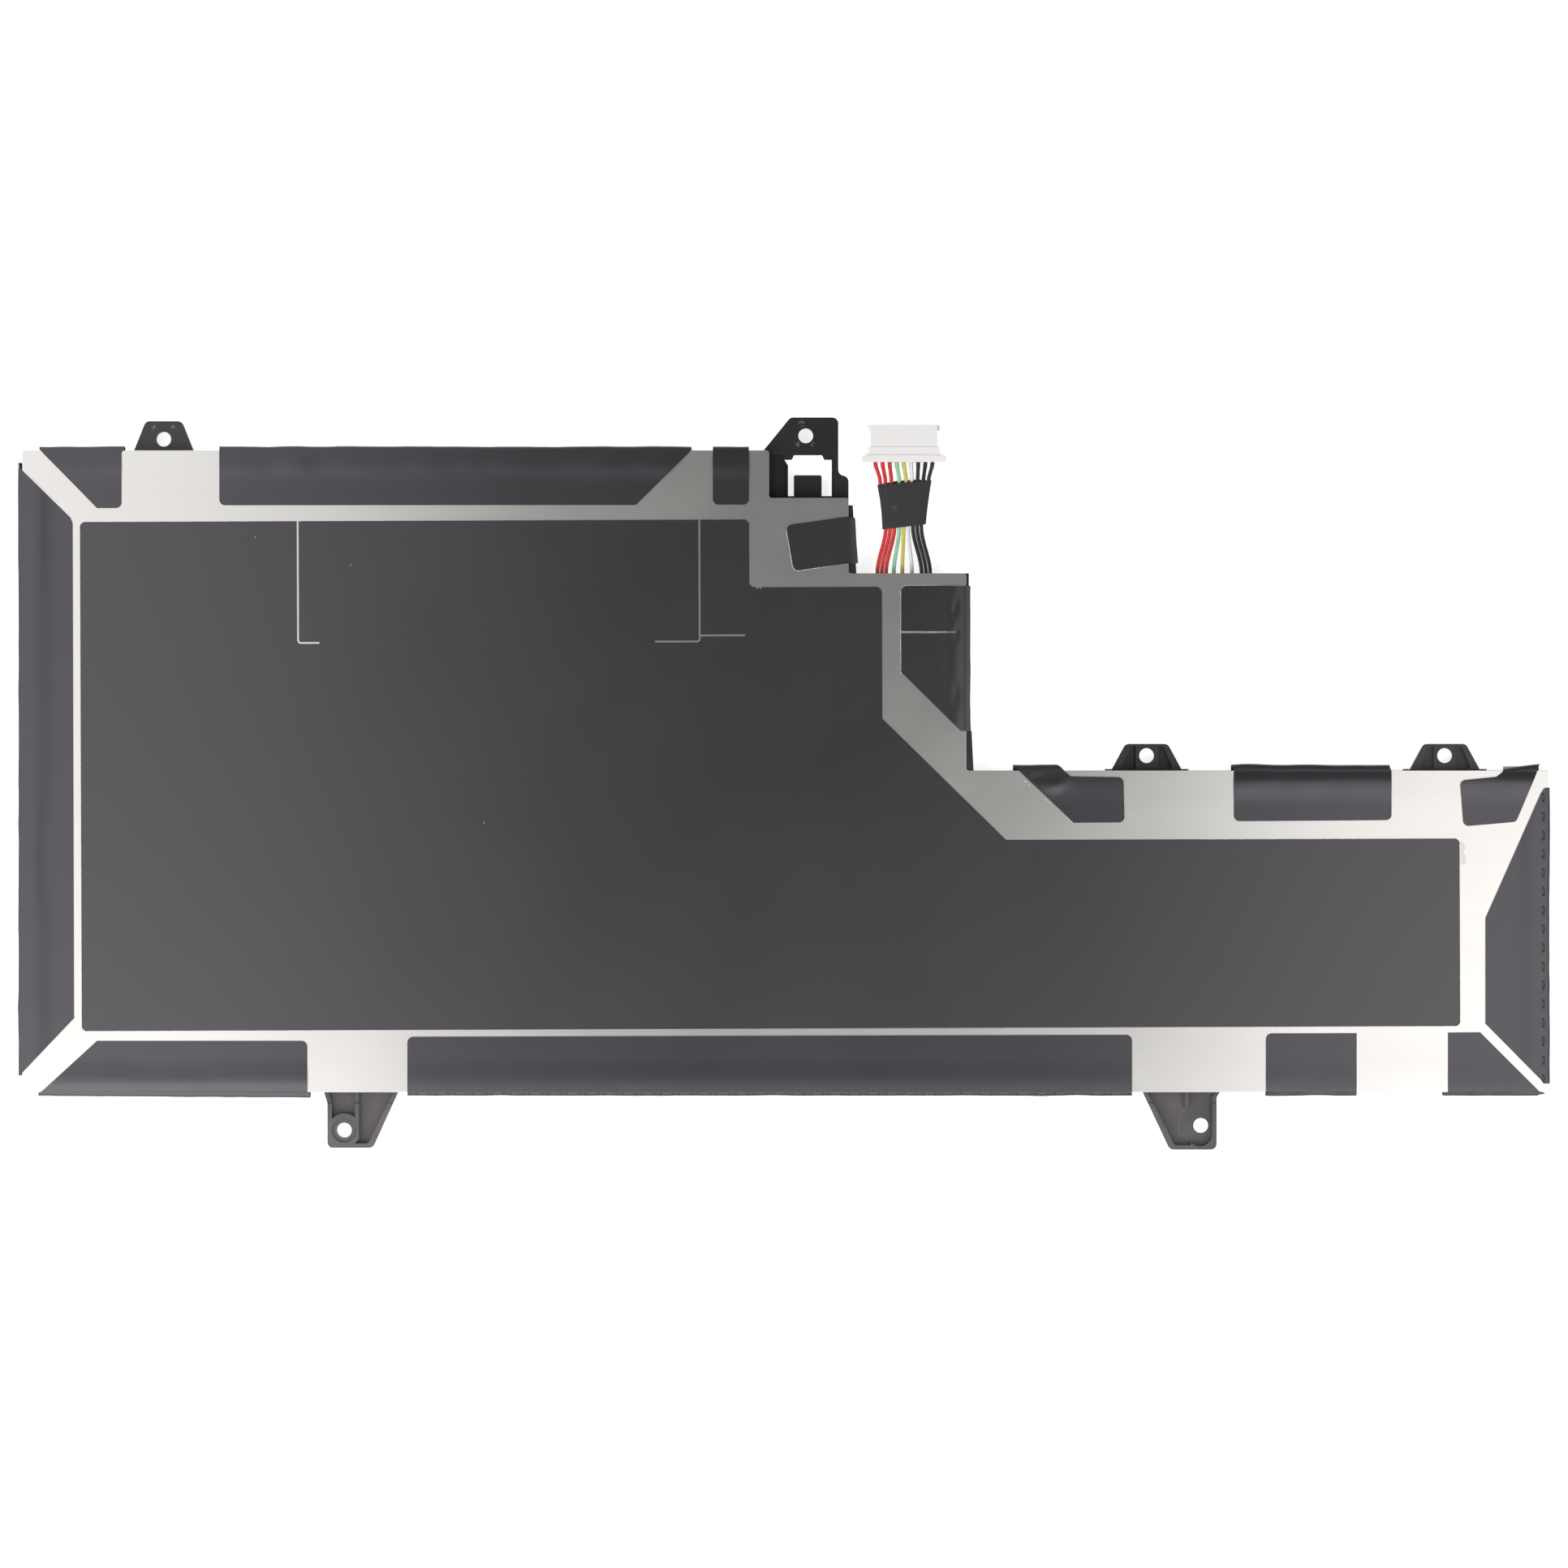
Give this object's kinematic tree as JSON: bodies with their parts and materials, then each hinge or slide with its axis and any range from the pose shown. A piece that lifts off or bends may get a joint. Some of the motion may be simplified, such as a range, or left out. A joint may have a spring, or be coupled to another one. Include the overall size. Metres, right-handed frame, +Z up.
{
  "type": "laptop battery",
  "caption": "Flat L-shaped laptop battery pack: pouch cells in a moulded frame with screw lugs, steel plate on top, black film folded over its edges, and a short cable with a plug",
  "frame": {"origin": "middle of the pack's outline, cable left out, on the surface that it lies on", "axes": "+Z up out of the steel plate, +Y to the back, where the cable leaves, +X along the arm to the right"},
  "size_m": [0.268, 0.1282, 0.0054],
  "materials": {
    "moulded_frame": "fine matt moulded black",
    "steel": "satin, faint rolling grain",
    "plate_film": "satin charcoal film with a finely toothed edge",
    "wrap_film": "satin black film, folded by hand",
    "cell_pouch": "dull laminate foil",
    "cell_tape": "thin adhesive tape",
    "tab_aluminium": "bare foil",
    "tab_nickel": "bare nickel",
    "board": "green solder mask",
    "insulator": "thin translucent sheet",
    "chip_black": "matt moulding compound",
    "fuse_body": "plain ceramic",
    "capacitor_body": "plain ceramic",
    "solder": "smooth solder",
    "wire_red": "smooth insulation",
    "wire_green": "smooth insulation",
    "wire_yellow": "smooth insulation",
    "wire_white": "smooth insulation",
    "wire_black": "smooth insulation",
    "harness_tape": "matt cloth tape",
    "plug_nylon": "milky natural nylon",
    "contact": "tinned"
  },
  "bodies": {
    "root": {"frame": "moulded_frame", "steel_plate": "steel", "plate_film": "plate_film", "wrap_film": "wrap_film", "strap_tape": "wrap_film", "side_tape": "wrap_film", "circuit_board": "board", "board_insulator": "insulator", "gauge_chip": "chip_black", "protector_chip": "chip_black", "charge_transistor": "chip_black", "discharge_transistor": "chip_black", "cell_fuse": "fuse_body", "shunt_resistor": "capacitor_body", "thermistor": "chip_black", "chip_capacitors": "capacitor_body", "solder_joints": "solder", "wire_red_1": "wire_red", "wire_red_2": "wire_red", "wire_red_3": "wire_red", "wire_green": "wire_green", "wire_yellow": "wire_yellow", "wire_white": "wire_white", "wire_black_1": "wire_black", "wire_black_2": "wire_black", "wire_black_3": "wire_black", "harness_tape": "harness_tape", "plug_housing": "plug_nylon", "cell_1": "cell_pouch", "cell_tape_1": "cell_tape", "positive_tab_1": "tab_aluminium", "negative_tab_1": "tab_nickel", "cell_2": "cell_pouch", "cell_tape_2": "cell_tape", "positive_tab_2": "tab_aluminium", "negative_tab_2": "tab_nickel", "cell_3": "cell_pouch", "cell_tape_3": "cell_tape", "positive_tab_3": "tab_aluminium", "negative_tab_3": "tab_nickel", "contact_1": "contact", "contact_2": "contact", "contact_3": "contact", "contact_4": "contact", "contact_5": "contact", "contact_6": "contact", "contact_7": "contact", "contact_8": "contact", "contact_9": "contact"}
  },
  "joints": []
}
